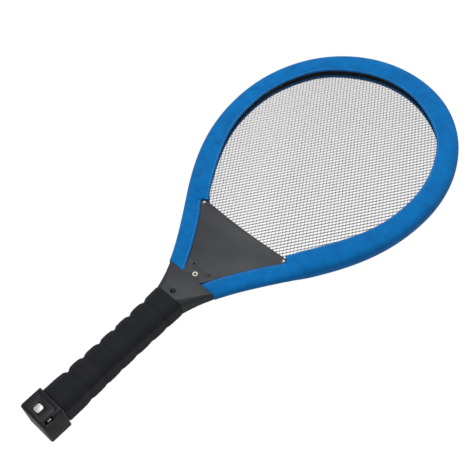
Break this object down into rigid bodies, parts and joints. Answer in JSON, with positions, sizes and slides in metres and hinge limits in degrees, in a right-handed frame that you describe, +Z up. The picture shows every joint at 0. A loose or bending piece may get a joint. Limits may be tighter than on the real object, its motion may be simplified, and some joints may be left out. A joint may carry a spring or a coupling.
{
  "type": "electric fly swatter",
  "caption": "Hand-held racket with a padded oval rim, a layered wire mesh, a foam grip and a butt cap whose small door covers the charging socket.",
  "frame": {"origin": "centre of the grip on the handle's axis, where a hand closes round it", "axes": "+Z up the handle's axis to the tip of the head, -Y is the front face with the button and lights, +X is the right-hand side seen from the front"},
  "size_m": [0.2404, 0.0345, 0.51],
  "materials": {
    "blue_fabric": "matt woven cover over foam",
    "hoop_plastic": "matt",
    "wire_mesh": "bright expanded mesh",
    "grey_plastic": "fine matt texture",
    "bare_metal": "bright",
    "white_bezel": "gloss",
    "dark_lens": "dark lens",
    "red_lens": "dark red lens, unlit",
    "black_plastic": "satin",
    "board": "solder-mask green",
    "ferrite": "dull dark grey",
    "film_capacitor": "dipped gloss",
    "cell_wrap": "printed sleeve left plain",
    "red_wire": "satin insulation",
    "black_wire": "satin insulation",
    "foam": "soft matt foam",
    "charcoal_plastic": "satin, pebbled",
    "silver_button": "bright satin",
    "socket_metal": "stamped shell"
  },
  "bodies": {
    "racket": {"rim_sleeve": "blue_fabric", "front_hoop": "hoop_plastic", "rear_hoop": "hoop_plastic", "front_spacer_ring": "hoop_plastic", "rear_spacer_ring": "hoop_plastic", "front_mesh": "wire_mesh", "middle_mesh": "wire_mesh", "rear_mesh": "wire_mesh", "front_shell": "grey_plastic", "rear_shell": "grey_plastic", "tip_rivet_left": "bare_metal", "tip_rivet_right": "bare_metal", "shell_screw_1": "bare_metal", "shell_screw_2": "bare_metal", "shell_screw_3": "bare_metal", "shell_screw_4": "bare_metal", "upper_contact": "bare_metal", "lower_contact": "bare_metal", "contact_spring": "bare_metal", "door_pin": "bare_metal", "cap_screw": "bare_metal", "led_bezel": "white_bezel", "indicator_led": "dark_lens", "power_light": "dark_lens", "charge_light": "red_lens", "button_switch": "black_plastic", "circuit_board": "board", "charging_board": "board", "transformer": "ferrite", "high_voltage_capacitor": "film_capacitor", "battery_cell_lower": "cell_wrap", "battery_cell_upper": "cell_wrap", "outer_mesh_lead": "red_wire", "charging_lead": "red_wire", "middle_mesh_lead": "black_wire", "battery_lead": "black_wire", "foam_grip": "foam", "cap_housing": "charcoal_plastic", "charging_socket": "socket_metal"},
    "door": {"cap_door": "charcoal_plastic"},
    "latch": {"latch_button": "silver_button"},
    "button": {"zap_button": "black_plastic"}
  },
  "joints": [
    {"name": "cap_door_hinge", "type": "hinge", "parent": "racket", "child": "door", "pos_m": [-0.0136, -0.0143, -0.081], "axis": [0, 0, -1], "range_deg": [0, 100]},
    {"name": "latch_press", "type": "slide", "parent": "door", "child": "latch", "axis": [0, 1, 0], "range_m": [0, 0.0012], "stiffness_N_per_m": 900},
    {"name": "zap_button_press", "type": "slide", "parent": "racket", "child": "button", "axis": [0, 1, 0], "range_m": [0, 0.0012], "stiffness_N_per_m": 900}
  ]
}
